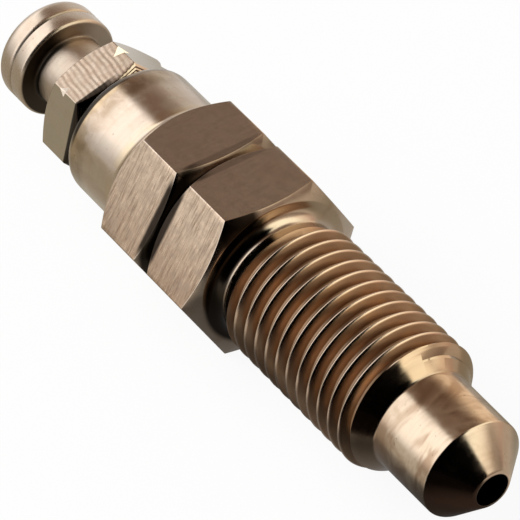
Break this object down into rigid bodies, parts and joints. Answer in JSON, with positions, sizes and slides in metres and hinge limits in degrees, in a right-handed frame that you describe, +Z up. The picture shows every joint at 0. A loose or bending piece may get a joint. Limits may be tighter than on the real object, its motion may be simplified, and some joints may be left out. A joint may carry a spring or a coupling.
{
  "type": "bleed nipple",
  "caption": "Hydraulic bleed valve: a threaded hexagon body with a conical sealing tip, and a hexagon bleed screw with a collar and a flanged coupling nipple.",
  "frame": {"origin": "on the surface that the valve lies on, below the middle of its length", "axes": "+X along the axis towards the conical tip, +Z up from the flats that it lies on, +Y across"},
  "size_m": [0.0474, 0.0128, 0.011],
  "materials": {
    "valve_body": "turned and milled steel with a warm brown-nickel plating",
    "bleed_screw": "turned and milled steel with a warm brown-nickel plating",
    "hose_nipple": "turned steel, satin, with a warm plating",
    "stem_o_ring": "matt black rubber",
    "check_ball": "polished steel",
    "check_spring": "drawn spring wire",
    "nipple_seal": "off-white sealing plastic"
  },
  "bodies": {
    "body": {"valve_body": "valve_body"},
    "lift": {"stem_o_ring": "stem_o_ring"},
    "screw": {"bleed_screw": "bleed_screw", "hose_nipple": "hose_nipple", "nipple_seal": "nipple_seal", "check_spring": "check_spring"},
    "ball": {"check_ball": "check_ball"}
  },
  "joints": [
    {"name": "screw_lift", "type": "slide", "parent": "body", "child": "lift", "axis": [-1, 0, 0], "range_m": [0, 0.000374]},
    {"name": "screw_turn", "type": "hinge", "parent": "lift", "child": "screw", "pos_m": [-0.009, 0, 0.0055], "axis": [-1, 0, 0], "range_deg": [0, 180]},
    {"name": "ball_lift", "type": "slide", "parent": "screw", "child": "ball", "axis": [-1, 0, 0], "range_m": [0, 0.0008], "stiffness_N_per_m": 250, "springref_m": -0.0012, "deforming": ["check_spring"]}
  ],
  "couplings": [
    {"joint": "screw_turn", "follows": "screw_lift", "rad_per_m": 8377.6}
  ]
}
